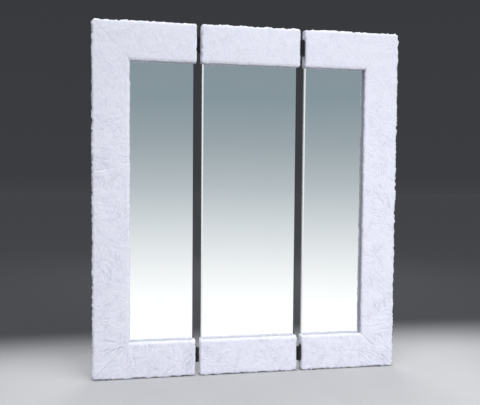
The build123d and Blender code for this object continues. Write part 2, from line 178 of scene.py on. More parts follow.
# The crown of the face, the groove along a mitre, and what presses the fur down
CROWN = 1.6 * MM
CROWN_SPREAD = 0.03
FACE_SINK = 0.4 * MM
MITRE_DEPTH = 1.0 * MM
MITRE_WIDTH = 0.004
BACK_HEIGHT = 0.5
BACK_FACING = 0.7
STAPLE_CELL = 14 * MM
STAPLE_CROWN_LIFT = 0.2 * MM
STAPLE_PRESS = 0.8 * MM
STAPLE_PRESS_RADIUS = 0.007
LEAF_PRESS = 0.3 * MM
LEAF_PRESS_EASE = 0.008

# How far the fur may stand out of the cover's plain shape, or sink into it
FACE_LIMIT = 2.4 * MM
WALL_LIMIT = 5.0 * MM
GAP_LIMIT = 1.6 * MM
FLOOR_CLEARANCE = 1.5 * MM
DEEPEST_SINK = 3 * MM
BACK_SINK = 0.9 * MM
FACE_NORMAL = 0.5
BACK_NORMAL = 0.3

# The studio
FLOOR_HALF = 30.0
FLOOR_PALE = ((0.44, 0.445, 0.46), (0.48, 0.485, 0.50))
# painted shade: the floor colour the fades paint in behind and beside the screen, round a painted pool of
# light
FLOOR_PAINTED_SHADE = (0.045, 0.047, 0.052, 1)
FLOOR_FADE_BEHIND = {"From_Min": 1.0, "From_Max": 0.12}
FLOOR_FADE_ASIDE = {"From_Min": 3.0, "From_Max": 1.0}

# Colours of the surroundings from low to high, where 0 and 1 are 30 degrees below and above level
SKY_CLIMB = (-0.5, 0.5)
SKY_AHEAD = (
    (0.0, (1.22, 1.22, 1.22)),
    (0.292, (1.10, 1.10, 1.10)),
    (0.4825, (0.49, 0.535, 0.565)),
    (0.552, (0.35, 0.402, 0.43)),
    (0.622, (0.264, 0.326, 0.36)),
    (0.80, (0.24, 0.29, 0.32)),
    (1.0, (0.85, 0.86, 0.88)),
)
SKY_BEHIND = (
    (0.0, (0.16, 0.165, 0.175)),
    (0.36, (0.075, 0.078, 0.085)),
    (0.50, (0.045, 0.047, 0.052)),
    (0.80, (0.040, 0.042, 0.047)),
    (1.0, (0.85, 0.86, 0.88)),
)
PALE_PANEL = (0.88, 0.89, 0.90, 1)
PALE_PANEL_SPAN = (-0.015, -0.075)
LEFT_DARK_SPAN = (-0.30, -0.55)
RIGHT_DARK_SPAN = (0.385, 0.435)
BEHIND_SPAN = (-0.25, 0.35)

# Each light's name, place, target, size and watts
LIGHTS = (
    ("key", (0.9, -3.4, 1.15), (0.0, 0.0, 0.85), (1.2, 1.2), 52),
    ("top", (0.3, -1.6, 8.0), (0.0, 0.0, 0.2), (4.0, 2.5), 300),
    ("back", (0.8, 3.6, 2.6), (0.0, 0.0, 0.9), (2.4, 2.0), 70),
)

CAMERA_AT = Vector((-0.6090, -3.0777, 1.0452))
CAMERA_TURN = math.radians(10.28)
CAMERA_DIP = math.radians(2.70)
CAMERA_ROLL = math.radians(0.47)
CAMERA_LENS = 45.0
SENSOR_WIDTH = 36.0


# Noise and creases


class Noise:
    """Smooth seeded noise over points, from about -1 to 1."""

    CELLS = 512
    GAIN = 1.6

    def __init__(self, seed):
        draw = np.random.default_rng(seed)
        self.order = draw.permutation(self.CELLS)
        directions = draw.normal(size=(self.CELLS, 3))
        self.directions = directions / np.linalg.norm(directions, axis=1)[:, None]

    def at(self, points, size, shift=0.0):
        """The noise at points, for bumps of a size. A shift gives another pattern of the same kind."""
        points = points / np.array(size) + shift
        base = np.floor(points).astype(int)
        part = points - base
        fade = part * part * part * (part * (part * 6 - 15) + 10)
        total = np.zeros(len(points))
        last = self.CELLS - 1
        for corner in np.ndindex(2, 2, 2):
            cell = base + corner
            key = self.order[cell[:, 2] & last]
            key = self.order[(cell[:, 1] + key) & last]
            key = self.order[(cell[:, 0] + key) & last]
            pull = np.einsum("ij,ij->i", self.directions[key], part - corner)
            share = np.prod(np.where(np.array(corner) == 1, fade, 1 - fade), axis=1)
            total += share * pull
        return total * self.GAIN


NAP_PATCHES = [Noise(40 + n) for n in range(len(NAP_TURNS))]
FIBRES = [Noise(60 + n) for n in range(len(NAP_TURNS))]
SWELLS = Noise(80)
TUFTS = Noise(81)
LOCKS = Noise(82)
WRINKLES = [Noise(90 + n) for n in range(len(WRINKLE_TURNS))]
FLOW = Noise(95)


def smooth_step(value):
    """Eases from 0 to 1 as the value does."""
    part = np.clip(value, 0, 1)
    return part * part * (3 - 2 * part)


def bell(distance, width):
    """1 at no distance, falling almost to nothing at twice the width."""
    return np.exp(-((distance / width) ** 2))


def unrest(z):
    """How rumpled the fur is at a height: calm at the top, most rumpled low down."""
    return 1.0 - CALMING * smooth_step((z - CALM_FROM) / CALM_OVER)


@dataclass
class Crease:
    """A short furrow in the fur of a panel's face, slightly bowed, with a raised lip."""

    TAPER = 0.7
    LIP_SHARE = 0.45
    LIP_OFFSET = 1.9

    centre: tuple
    turn: float
    length: float
    width: float
    depth: float
    bow: float

    def height(self, x, z):
        """How far the furrow moves points of the face, in metres."""
        along_x = math.sin(self.turn)
        along_z = math.cos(self.turn)
        dx = x - self.centre[0]
        dz = z - self.centre[1]
        along = (dx * along_x + dz * along_z) / (self.length / 2)
        across = (dx * along_z - dz * along_x) - self.bow * (1 - along * along)
        taper = np.clip(1 - along * along, 0, 1) ** self.TAPER
        lip = self.LIP_SHARE * bell(across - self.LIP_OFFSET * self.width, self.width)
        return self.depth * taper * (lip - bell(across, self.width))


def crease_cluster(draw, centre, turn, count, size):
    """Several roughly parallel creases side by side."""
    found = []
    spacing = draw.uniform(*CREASE_SPACING) * MM
    for place in range(count):
        offset = (place - (count - 1) / 2) * spacing
        slip = draw.normal(0, CREASE_SLIP) * MM
        x = centre[0] + offset * math.cos(turn) + slip * math.sin(turn)
        z = centre[1] - offset * math.sin(turn) + slip * math.cos(turn)
        crease = Crease(
            centre=(x, z),
            turn=turn + draw.normal(0, CREASE_TURN_SPREAD),
            length=size * draw.uniform(*CREASE_SHARE),
            width=draw.uniform(*CREASE_WIDTH) * MM,
            depth=draw.uniform(*CREASE_DEPTH) * MM * unrest(z),
            bow=size * draw.normal(*CREASE_BOW),
        )
        found.append(crease)
    return found


def scattered_creases(draw, pad, outer):
    """Clusters all over a pad, turned by a slow flow and leaning the other way on the right panel."""
    found = []
    for _ in range(round(pad.length * pad.width / CLUSTER_CELL**2)):
        run = draw.uniform(*CLUSTER_RUN) * pad.length
        reach = draw.uniform(*CLUSTER_REACH) * pad.width
        centre = pad.place(run, reach, 0.0)[[0, 2]]
        flow = FLOW.at(np.array([[centre[0], float(outer), centre[1]]]), FLOW_SIZE)[0]
        lean = -CLUSTER_LEAN if outer > 0 else CLUSTER_LEAN
        turn = lean + FLOW_TURN * flow + draw.normal(0, CLUSTER_TURN_SPREAD)
        size = draw.uniform(*CLUSTER_LENGTH) * MM
        count = int(draw.integers(*CLUSTER_COUNT))
        found += crease_cluster(draw, centre, turn, count, size)
    return found


def fanned_creases(draw, stile, outer):
    """Creases that fan out from a stile's inner corners into its mitres."""
    found = []
    inner_x = stile.corner[0] + stile.across[0] * stile.width
    inner_low = stile.corner[1] + stile.start_cut
    inner_high = stile.corner[1] + stile.length - stile.end_cut
    for (lean, count), inner_z in zip(FAN_COUNTS.items(), (inner_low, inner_high)):
        for n in range(count):
            degrees = FAN_MIDDLE + (n - (count - 1) / 2) * FAN_STEP + draw.normal(0, FAN_SPREAD)
            length = draw.uniform(*FAN_CREASE_LENGTH) * MM
            start = draw.uniform(*FAN_CREASE_START) * MM
            out_x = outer * math.sin(math.radians(degrees))
            out_z = lean * math.cos(math.radians(degrees))
            middle = start + length / 2
            centre = (inner_x + out_x * middle, inner_z + out_z * middle)
            crease = Crease(
                centre=centre,
                turn=math.atan2(out_x, out_z),
                length=length,
                depth=draw.uniform(*FAN_CREASE_DEPTH) * MM * unrest(centre[1]) ** 2,
                width=draw.uniform(*FAN_CREASE_WIDTH) * MM,
                bow=draw.normal(0, FAN_CREASE_BOW) * MM,
            )
            found.append(crease)
    return found


def panel_creases(outer, members):
    """The creases of one panel's fur, on its pads and round its mitres."""
    draw = np.random.default_rng(CREASE_SEED + outer)
    found = []
    for pad in members:
        found += scattered_creases(draw, pad, outer)
        if pad.member == "stile":
            found += fanned_creases(draw, pad, outer)
    return found


# Pads


@dataclass
class Pad:
    """One padded member, seen from its outer edge.

    It runs from its outer corner along one direction, and across to its inner edge. A cut is how much
    shorter a mitred end is at the inner edge, and an end without a cut is free, beside a gap.
    """

    side: str
    member: str
    corner: tuple
    along: tuple
    across: tuple
    length: float
    width: float
    start_cut: float
    end_cut: float

    @property
    def name(self):
        return f"{self.side}_{self.member}_pad"

    @property
    def mirrored(self):
        """Whether run, reach and depth turn the other way round than X, Y and Z."""
        return self.along[0] * self.across[1] - self.along[1] * self.across[0] > 0

    def place(self, run, reach, depth):
        """Points at a run along the pad, a reach across it and a depth in Y."""
        x = self.corner[0] + self.along[0] * run + self.across[0] * reach
        z = self.corner[1] + self.along[1] * run + self.across[1] * reach
        return np.stack([x, depth, z], axis=-1)

    def free_distance(self, run):
        """How far points are from the pad's nearest free end."""
        distance = np.full(len(run), FAR)
        if not self.start_cut:
            distance = np.minimum(distance, run)
        if not self.end_cut:
            distance = np.minimum(distance, self.length - run)
        return distance

    def mitre_distance(self, run, reach):
        """How far points are from the pad's nearest mitre."""
        distance = np.full(len(run), FAR)
        for cut, offset in ((self.start_cut, run), (self.end_cut, self.length - run)):
            if cut:
                across = (offset * self.width - reach * cut) / math.hypot(self.width, cut)
                distance = np.minimum(distance, np.maximum(across, 0))
        return distance


def pads():
    """Every pad, measured on the part's fur covers."""
    found = []
    for side, outer in SIDES.items():
        boxes = {}
        for member in ("top", "stile", "bottom") if outer else ("top", "bottom"):
            low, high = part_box(f"{side}_fur_{member}")
            boxes[member] = (low, high)
        widths = {m: high.z - low.z for m, (low, high) in boxes.items() if m != "stile"}
        stile = boxes["stile"][1].x - boxes["stile"][0].x if outer else 0
        for member, (low, high) in boxes.items():
            if member == "stile":
                corner = (low.x if outer < 0 else high.x, low.z)
                size = (high.z - low.z, stile, widths["bottom"], widths["top"])
                directions = ((0, 1), (-outer, 0))
            else:
                down = -1 if member == "top" else 1
                corner = (low.x, high.z if member == "top" else low.z)
                cuts = (stile if outer < 0 else 0, stile if outer > 0 else 0)
                size = (high.x - low.x, widths[member], *cuts)
                directions = ((1, 0), (0, down))
            found.append(Pad(side, member, corner, *directions, *size))
    return found


def lattice_lines(stops, step):
    """Rows of lattice places through rows of stops, a step or less apart in the first column."""
    rows = [stops[0]]
    for low, high in zip(stops, stops[1:]):
        count = max(1, round(abs(high[0] - low[0]) / step))
        rows += [low + (high - low) * n / count for n in range(1, count + 1)]
    return np.array(rows)


def pad_lattice(pad, step):
    """Lines of a pad's lattice: runs at the outer and the inner edge, reaches, and depths."""
    end = pad.length
    runs = [(0, pad.start_cut)]
    if pad.start_cut:
        runs.append((pad.start_cut + FAN_LENGTH,) * 2)
    else:
        runs += [(FUR, FUR), (FOLD_WIDTH, FOLD_WIDTH)]
    if pad.end_cut:
        runs += [(end - pad.end_cut - FAN_LENGTH,) * 2, (end, end - pad.end_cut)]
    else:
        runs += [(end - FOLD_WIDTH,) * 2, (end - FUR,) * 2, (end, end)]
    reaches = [(0,), (FUR,), (FOLD_WIDTH,), (pad.width - TUCK_RADIUS,), (pad.width,)]
    depths = [(FUR_FRONT_Y,), (GLASS_Y,), (BOARD_BACK_Y,), (FUR_BACK_Y,)]
    rows = [lattice_lines(np.array(stops, float), step) for stops in (runs, reaches, depths)]
    return rows[0], rows[1][:, 0], rows[2][:, 0]


def pad_cells(pad, runs, reaches, depths):
    """Which lattice cells the cover fills: the pad, the wrap round the board and the fold behind it."""
    run = (runs[1:, 0] + runs[:-1, 0])[:, None, None] / 2
    reach = (reaches[1:] + reaches[:-1])[None, :, None] / 2
    depth = (depths[1:] + depths[:-1])[None, None, :] / 2
    inset = reach + 0 * run
    if not pad.start_cut:
        inset = np.minimum(inset, run)
    if not pad.end_cut:
        inset = np.minimum(inset, pad.length - run)
    return (depth < GLASS_Y) | (inset < FUR) | ((inset < FOLD_WIDTH) & (depth > BOARD_BACK_Y))


def boundary_quads(solid):
    """Quads round the filled cells, as lattice corners with outward order, with each one's axis."""
    filled = np.pad(solid, 1).astype(np.int8)
    quads = []
    axes = []
    for axis in range(3):
        change = np.diff(filled, axis=axis)
        change = change[tuple(slice(None) if a == axis else slice(1, -1) for a in range(3))]
        cells = np.argwhere(change)
        u, v = (a for a in range(3) if a != axis)
        quad = np.repeat(cells[:, None, :], 4, axis=1)
        quad[:, 1:3, u] += 1
        quad[:, 2:4, v] += 1
        leaving = change[tuple(cells.T)] < 0
        turned = leaving == (axis == 1)
        quad[turned] = quad[turned][:, ::-1]
        quads.append(quad)
        axes.append(np.full(len(quad), axis))
    return np.concatenate(quads), np.concatenate(axes)


def outline_loops(quads):
    """Closed loops of corners round a flat patch of quads."""
    edges = set()
    for n in range(4):
        edges |= set(zip(quads[:, n].tolist(), quads[:, (n + 1) % 4].tolist()))
    following = {a: b for a, b in edges if (b, a) not in edges}
    loops = []
    while following:
        loop = [min(following)]
        while loop[-1] in following:
            loop.append(following.pop(loop[-1]))
        loops.append(loop[:-1])
    return loops


def line_at(lines, place):
    """Number of the lattice line nearest to a place."""
    return int(np.argmin(abs(lines - place)))


def covered_patches(pad, runs, reaches, depths, quads, axes):
    """Flat patches of quads where the cover lies on wood, glass or the next pad."""
    start = 0 if pad.start_cut else line_at(runs[:, 0], FUR)
    end = len(runs) - 1 if pad.end_cut else line_at(runs[:, 0], pad.length - FUR)
    planes = (
        (1, line_at(reaches, FUR)),
        (2, line_at(depths, GLASS_Y)),
        (2, line_at(depths, BOARD_BACK_Y)),
        (0, start),
        (0, end),
    )
    tucked = quads[:, :, 1].min(axis=1) >= line_at(reaches, pad.width - TUCK_RADIUS)
    return [(axes == axis) & (quads[:, 0, axis] == line) & ~(tucked & (axis == 2)) for axis, line in planes]


def corner_rounded(pad, run, reach):
    """Runs and reaches moved in to round the pad's outer corner at each mitred end."""
    for cut, offset, sign in ((pad.start_cut, run, 1), (pad.end_cut, pad.length - run, -1)):
        if cut:
            out = np.stack([OUTER_CORNER_RADIUS - offset, OUTER_CORNER_RADIUS - reach])
            in_corner = (out > 0).all(axis=0)
            length = np.maximum(np.linalg.norm(out, axis=0), TINY)
            ease = np.where(in_corner, out.max(axis=0) / length, 1)
            run = np.where(in_corner, run + sign * out[0] * (1 - ease), run)
            reach = np.where(in_corner, reach + out[1] * (1 - ease), reach)
    return run, reach


def rounded(pad, run, reach, depth):
    """Points of the pad's box moved in to round its free edges and corners, and tucked in at the glass."""
    # The radius changes from the front's to the back's between 35 and 85 % of the depth
    through = (depth - FUR_FRONT_Y) / (FUR_BACK_Y - FUR_FRONT_Y)
    radius = FRONT_RADIUS + (BACK_RADIUS - FRONT_RADIUS) * smooth_step(through * 2 - 0.7)
    front_core = FUR_FRONT_Y + FRONT_RADIUS
    at_glass = (reach > pad.width - FRONT_RADIUS) & (depth < GLASS_Y + ON_GLASS)
    tuck = TUCK_RADIUS * smooth_step((pad.free_distance(run) - FUR) / (2 * TUCK_RADIUS))
    turn = smooth_step((depth - front_core) / (GLASS_Y - TUCK_RADIUS - front_core))
    radius = np.where(at_glass, FRONT_RADIUS + (tuck - FRONT_RADIUS) * turn, radius)
    back_core = np.where(at_glass, GLASS_Y - tuck, FUR_BACK_Y - BACK_RADIUS)
    low = np.where(pad.start_cut, -FAR, radius)
    high = pad.length - np.where(pad.end_cut, -FAR, radius)
    core_run = np.clip(run, low, high)
    core_reach = np.clip(reach, radius, pad.width - radius)
    core_depth = np.clip(depth, front_core, back_core)
    away = np.stack([run - core_run, reach - core_reach, depth - core_depth])
    size = np.linalg.norm(away, axis=0)
    scale = np.where(size > TINY, radius / np.maximum(size, TINY), 0)
    run, reach, depth = np.stack([core_run, core_reach, core_depth]) + away * scale
    return *corner_rounded(pad, run, reach), depth


def vertex_normals(points, quads):
    """Unit normals of the corners of quads, averaged over the quads by their area."""
    crossing = np.cross(points[quads[:, 2]] - points[quads[:, 0]], points[quads[:, 3]] - points[quads[:, 1]])
    normals = np.zeros_like(points)
    for n in range(4):
        np.add.at(normals, quads[:, n], crossing)
    return normals / np.maximum(np.linalg.norm(normals, axis=1), TINY_AREA)[:, None]


# Relief of the fur


def brushed(points, turn, up):
    """Places along and across a brushed direction on the face, and Y. The turn is from up, or from down."""
    along = points[:, 0] * math.sin(turn) + up * points[:, 2] * math.cos(turn)
    across = points[:, 0] * math.cos(turn) - up * points[:, 2] * math.sin(turn)
    return np.stack([along, across, points[:, 1]], axis=1)


def nap(points):
    """Height of the brushed nap in metres, and its tone from about -1 to 1, which is painted shade following
    the height: darker where the pile lies low.
    """
    sharpness = np.stack([patch.at(points, NAP_PATCH, n) for n, patch in enumerate(NAP_PATCHES)])
    shares = np.exp(NAP_CONTRAST * sharpness)
    shares /= shares.sum(axis=0)
    height = np.zeros(len(points))
    tone = np.zeros(len(points))
    for share, fibre, turn, level in zip(shares, FIBRES, NAP_TURNS, NAP_TONES):
        places = brushed(points, turn, -1)
        fine = fibre.at(places, FINE_FIBRE)
        broad = fibre.at(places, BROAD_FIBRE, shift=31.7)
        height += share * (FINE_HEIGHT * fine + BROAD_HEIGHT * broad + PATCH_HEIGHT * level) * MM
        # painted shade: the tone follows the fibres' and patches' heights, darker where the pile lies low
        tone += share * (PATCH_PAINTED_SHADE * level + FINE_PAINTED_SHADE * fine + BROAD_PAINTED_SHADE * broad)
    return height, tone


def wrinkles(points):
    """Thin wandering wrinkles, in some places only, in metres."""
    height = np.zeros(len(points))
    for wrinkle, turn in zip(WRINKLES, WRINKLE_TURNS):
        line = wrinkle.at(brushed(points, turn, 1), WRINKLE_SIZE)
        place = wrinkle.at(points, WRINKLE_PLACE, shift=19.3)
        height -= WRINKLE_DEPTH * bell(line, WRINKLE_WIDTH) * smooth_step(place / WRINKLE_EASE)
    return height


def furrows(points, creases, rumpled):
    """All the creases and wrinkles of the face together, in metres."""
    height = np.zeros(len(points))
    for crease in creases:
        apart = abs(points[:, 0] - crease.centre[0]) + abs(points[:, 2] - crease.centre[1])
        near = apart < crease.length + FURROW_MARGIN
        height[near] += crease.height(points[near, 0], points[near, 2])
    height = height + wrinkles(points) * rumpled
    return np.clip(height, -FURROW_DEPTH, LIP_HEIGHT)


def tufted(points, opening, facing, behind):
    """Tufts in metres: low ones on the face, long ones on the sides, shorter ones in an opening."""
    tufts = TUFTS.at(points, TUFT_SIZE)
    drift = TUFTS.at(points, DRIFT_SIZE, shift=5.1)
    locks = np.maximum(LOCKS.at(points, LOCK_SIZE), 0)
    shagginess = np.where(opening, OPENING_SHAGGINESS, 1.0) * (1 - facing) * (1 - BACK_SMOOTHING * behind)
    edge = EDGE_TUFTS * tufts + EDGE_DRIFT * drift + EDGE_LOCKS * locks**2
    return (FACE_TUFTS * tufts + shagginess * edge) * MM


def crowned(pad, run, reach, facing):
    """The slight rise of the face towards its middle, in metres."""
    edge_in = np.minimum(np.minimum(reach, pad.width - reach), pad.free_distance(run))
    rise = 1 - np.exp(-np.maximum(edge_in, 0) / CROWN_SPREAD)
    return facing * CROWN * rise - FACE_SINK * facing


def box_distance(points, low, high):
    """How far points are from a box."""
    outside = np.maximum(np.maximum(np.array(low) - points, points - np.array(high)), 0)
    return np.linalg.norm(outside, axis=1)


def staple_places(side):
    """Middle of each staple's crown on a panel's back, as (x, z)."""
    mesh = frame["nodes"][f"{side}_staples"].data
    points = np.array([v.co for v in mesh.vertices])
    crowns = points[points[:, 1] > FUR_BACK_Y + STAPLE_CROWN_LIFT][:, [0, 2]]
    places = []
    for point in crowns:
        if not any(math.dist(point, place) < STAPLE_CELL for place in places):
            near = crowns[np.linalg.norm(crowns - point, axis=1) < STAPLE_CELL]
            places.append(tuple((near.min(axis=0) + near.max(axis=0)) / 2))
    return places


def hinge_leaves():
    """Boxes of the hinge leaves."""
    names = [n for n in frame["nodes"] if n.endswith("_leaf")]
    return [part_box(n) for n in sorted(names)]


def pressed(points, height, behind, staples):
    """Heights of the fur with dimples at the staples, and pressed flat by the hinge leaves."""
    for place in staples:
        near = bell(np.linalg.norm(points[:, [0, 2]] - place, axis=1), STAPLE_PRESS_RADIUS) * behind
        height = height * (1 - near) - STAPLE_PRESS * near
    for low, high in hinge_leaves():
        share = np.clip(box_distance(points, low, high) / LEAF_PRESS_EASE, 0, 1)
        height = height * share - LEAF_PRESS * (1 - share)
    return height


def limited(pad, run, points, normals, height, behind):
    """Heights kept in what the face, the sides, the gaps, the floor and the back allow."""
    limit = np.where(abs(normals[:, 1]) > FACE_NORMAL, FACE_LIMIT, WALL_LIMIT)
    limit = np.where(pad.free_distance(run) < FRONT_RADIUS, GAP_LIMIT, limit)
    limit = np.minimum(limit, np.maximum(points[:, 2] - FLOOR_CLEARANCE, GAP_LIMIT))
    return np.clip(height, np.where(behind > BACK_NORMAL, -BACK_SINK, -DEEPEST_SINK), limit)


def furred(pad, base, normals, run, reach, creases, staples):
    """The cover's points with their fur, and the tone of the nap and swells, with painted shade in low pile,
    creases and the recess and painted highlights on the rim and lips.
    """
    front = np.clip(-normals[:, 1], 0, 1)
    facing = front * front
    behind = np.clip(normals[:, 1], 0, 1)
    rumpled = unrest(base[:, 2])
    opening = (reach > pad.width - FRONT_RADIUS) & (base[:, 1] < GLASS_Y)
    past_rim = base[:, 1] - FUR_FRONT_Y - RIM_DEPTH
    mitre = pad.mitre_distance(run, reach)

    height, tone = nap(base)
    height *= CALM_HEIGHT + (1 - CALM_HEIGHT) * rumpled
    tone *= CALM_TONE + (1 - CALM_TONE) * rumpled
    height += SWELL_HEIGHT * SWELLS.at(base, SWELL_SIZE)
    tone += SWELL_TONE * SWELLS.at(base, SWELL_TONE_SIZE, shift=7.3)

    furrow = furrows(base, creases, rumpled) * facing
    height += furrow
    # painted shade in the creases and wrinkles, and painted light on their raised lips
    tone += furrow / MM * FURROW_PAINTED_SHADE
    height += tufted(base, opening, facing, behind)

    rim = bell(past_rim, RIM_SPREAD) * opening
    rim_locks = np.maximum(LOCKS.at(base, RIM_LOCK_SIZE, shift=3.7), RIM_LOWEST_LOCK)
    height += rim * (RIM_HEIGHT + RIM_LOCKS * rim_locks) * MM
    # painted highlight along the rim, and painted shade deepening into the recess towards the glass, left
    # off the bottom pads
    recess_painted_shade = 0.0 if pad.member == "bottom" else RECESS_PAINTED_SHADE
    tone += RIM_PAINTED_HIGHLIGHT * rim - recess_painted_shade * smooth_step(past_rim / RECESS_EASE) * opening

    height += crowned(pad, run, reach, facing)
    height -= facing * MITRE_DEPTH * bell(mitre, MITRE_WIDTH) * rumpled
    height = np.where(behind > BACK_FACING, height * BACK_HEIGHT, height)
    height = pressed(base, height, behind, staples)
    height = limited(pad, run, base, normals, height, behind)

    moved = normals * height[:, None]
    at_mitre = np.exp(-mitre / MITRE_WIDTH)[:, None]
    moved[:, [0, 2]] *= 1 - at_mitre
    return base + moved, tone


def add_object(name, data):
    """An object in the scene, of a mesh, a light or a camera."""
    added = bpy.data.objects.new(name, data)
    bpy.context.scene.collection.objects.link(added)
    return added


def build_pad(pad, creases, staples):
    """The fur cover of one pad as a closed mesh."""
    step = STILE_STEP if pad.member == "stile" else SHORT_PAD_STEP
    runs, reaches, depths = pad_lattice(pad, step)
    quads, axes = boundary_quads(pad_cells(pad, runs, reaches, depths))
    shape = (len(runs), len(reaches), len(depths))
    corner_ids = np.ravel_multi_index(tuple(np.moveaxis(quads, 2, 0)), shape)
    used, corner_ids = np.unique(corner_ids, return_inverse=True)
    corner_ids = corner_ids.reshape(-1, 4)
    i, j, k = np.unravel_index(used, shape)

    patches = covered_patches(pad, runs, reaches, depths, quads, axes)
    visible = corner_ids[~np.logical_or.reduce(patches)]
    covered = [loop for patch in patches for loop in outline_loops(corner_ids[patch])]
    if pad.mirrored:
        visible = visible[:, ::-1]
        covered = [loop[::-1] for loop in covered]

    reach = reaches[j]
    share = reach / pad.width
    run = runs[i, 0] * (1 - share) + runs[i, 1] * share
    depth = depths[k]
    on_skin = np.zeros(len(used), bool)
    on_skin[np.unique(visible)] = True
    fold_edge = (k == len(depths) - 2) & (depth > GLASS_Y) & (reach > FUR)
    soft = on_skin & ~fold_edge
    run[soft], reach[soft], depth[soft] = rounded(pad, run[soft], reach[soft], depth[soft])
    base = pad.place(run, reach, depth)
    normals = vertex_normals(base, visible)
    points = base.copy()
    tone = np.zeros(len(base))
    points[soft], tone[soft] = furred(
        pad, base[soft], normals[soft], run[soft], reach[soft], creases, staples
    )
    before_glass = depth < GLASS_Y - ON_GLASS
    points[:, 1] = np.where(before_glass, np.minimum(points[:, 1], GLASS_Y), points[:, 1])

    mesh = bpy.data.meshes.new(pad.name)
    mesh.from_pydata(points.tolist(), [], visible.tolist() + covered)
    mesh.validate()
    # the nap attribute holds the fur's tone with its painted shade and painted highlights
    attribute = mesh.attributes.new("nap", "FLOAT", "POINT")
    attribute.data.foreach_set("value", (0.5 + 0.5 * np.clip(tone, -1, 1)).astype(np.float32))
    smooth = np.zeros(len(mesh.polygons), bool)
    smooth[: len(visible)] = True
    mesh.polygons.foreach_set("use_smooth", smooth)
    return add_object(pad.name, mesh)


# Finishes


def join(tree, value, socket):
    """Links an output to a socket, or sets the socket to a plain value."""
    if isinstance(value, bpy.types.NodeSocket):
        tree.links.new(value, socket)
    else:
        socket.default_value = value


def colour_ramp(tree, factor, stops):
    """The colour at a factor on a ramp through (place, colour) stops."""
    ramp = tree.nodes.new("ShaderNodeValToRGB")
    tree.links.new(factor, ramp.inputs["Fac"])
    elements = ramp.color_ramp.elements
    while len(elements) < len(stops):
        elements.new(0.5)
    for element, (place, colour) in zip(elements, stops):
        element.position = place
        element.color = (*colour, 1)
    return ramp.outputs["Color"]


class Finish:
    """A node material: a Principled shader fed by textures in the piece's own space."""

    def __init__(self, name, **sockets):
        self.material = bpy.data.materials.new(name)
        self.material.use_nodes = True
        self.tree = self.material.node_tree
        self.shader = self.tree.nodes["Principled BSDF"]
        for socket, value in sockets.items():
            self.shader.inputs[socket.replace("_", " ")].default_value = value
        self.place = self.tree.nodes.new("ShaderNodeTexCoord")

    def add(self, kind, settings=None, **inputs):
        """A node with its settings. Its inputs go by name, or by number as _0, _1 and so on."""
        node = self.tree.nodes.new("ShaderNode" + kind)
        for key, value in (settings or {}).items():
            setattr(node, key, value)
        for key, value in inputs.items():
            index = int(key[1:]) if key[0] == "_" else key.replace("_", " ")
            join(self.tree, value, node.inputs[index])
        return node

    def feed(self, socket, output):
        """Links an output to one of the shader's sockets."""
        self.tree.links.new(output, self.shader.inputs[socket])

    def noise(self, scale, detail=3.0, stretch=(1, 1, 1), distortion=0.0):
        """A noise pattern of so many bumps a metre, from 0 to 1."""
        mapping = self.add("Mapping", Vector=self.place.outputs["Object"], Scale=stretch)
        texture = self.add(
            "TexNoise", Vector=mapping.outputs[0], Scale=scale, Detail=detail, Distortion=distortion
        )
        return texture.outputs["Fac"]

    def cells(self, scale):
        """Distances to the middles of cells, of which there are so many a metre."""
        texture = self.add("TexVoronoi", Vector=self.place.outputs["Object"], Scale=scale)
        return texture.outputs["Distance"]

    def blend(self, factor, *colours, places=None):
        """A colour that runs through the given ones as the factor goes from 0 to 1."""
        places = places or [n / (len(colours) - 1) for n in range(len(colours))]
        return colour_ramp(self.tree, factor, list(zip(places, colours)))

    def mix(self, factor, first, second, blend_type="MIX"):
        """The first colour with a share of the second mixed or multiplied in."""
        settings = {"data_type": "RGBA", "blend_type": blend_type}
        return self.add("Mix", settings, _0=factor, _6=first, _7=second).outputs[2]

    def math(self, operation, *values):
        """A sum, product or the like of values."""
        inputs = {f"_{n}": value for n, value in enumerate(values)}
        return self.add("Math", {"operation": operation}, **inputs).outputs[0]

    def between(self, factor, low, high):
        """A number from low to high as the factor goes from 0 to 1."""
        return self.add("MapRange", Value=factor, To_Min=low, To_Max=high).outputs[0]

    def bump(self, heights, depth, strength):
        """Raises the surface by a pattern of heights."""
        node = self.add("Bump", Height=heights, Distance=depth, Strength=strength)
        self.feed("Normal", node.outputs[0])


def fur_finish():
    """White plush with a cool cast, in the tones of its nap with their painted shade and highlights, with
    fine strands and clumps.
    """
    finish = Finish(
        "white_fur",
        Roughness=0.92,
        Sheen_Weight=0.9,
        Sheen_Roughness=0.35,
        Subsurface_Weight=0.2,
        Subsurface_Radius=(0.006, 0.006, 0.007),
        Subsurface_Scale=1.0,
        Specular_IOR_Level=0.15,
    )
    # the nap attribute: the fur's tone with painted shade in creases, low pile and the recess, and painted
    # highlights on rims
    fur_tone_and_painted_light = finish.add("Attribute", {"attribute_name": "nap"}).outputs["Fac"]
    base = finish.blend(fur_tone_and_painted_light, (0.60, 0.61, 0.71), (0.795, 0.80, 0.895), (0.88, 0.885, 0.96))
    strands = finish.noise(420, 4, stretch=(1, 1, 0.28), distortion=0.6)
    strand_tone = finish.blend(strands, (0.70, 0.71, 0.78), (1, 1, 1), places=[0.25, 0.6])
    finish.feed("Base Color", finish.mix(0.35, base, strand_tone, "MULTIPLY"))
    clumps = finish.noise(150, 3, stretch=(1, 1, 0.4), distortion=0.8)
    finish.bump(finish.math("ADD", strands, clumps), 1.1 * MM, 0.55)
    return finish.material


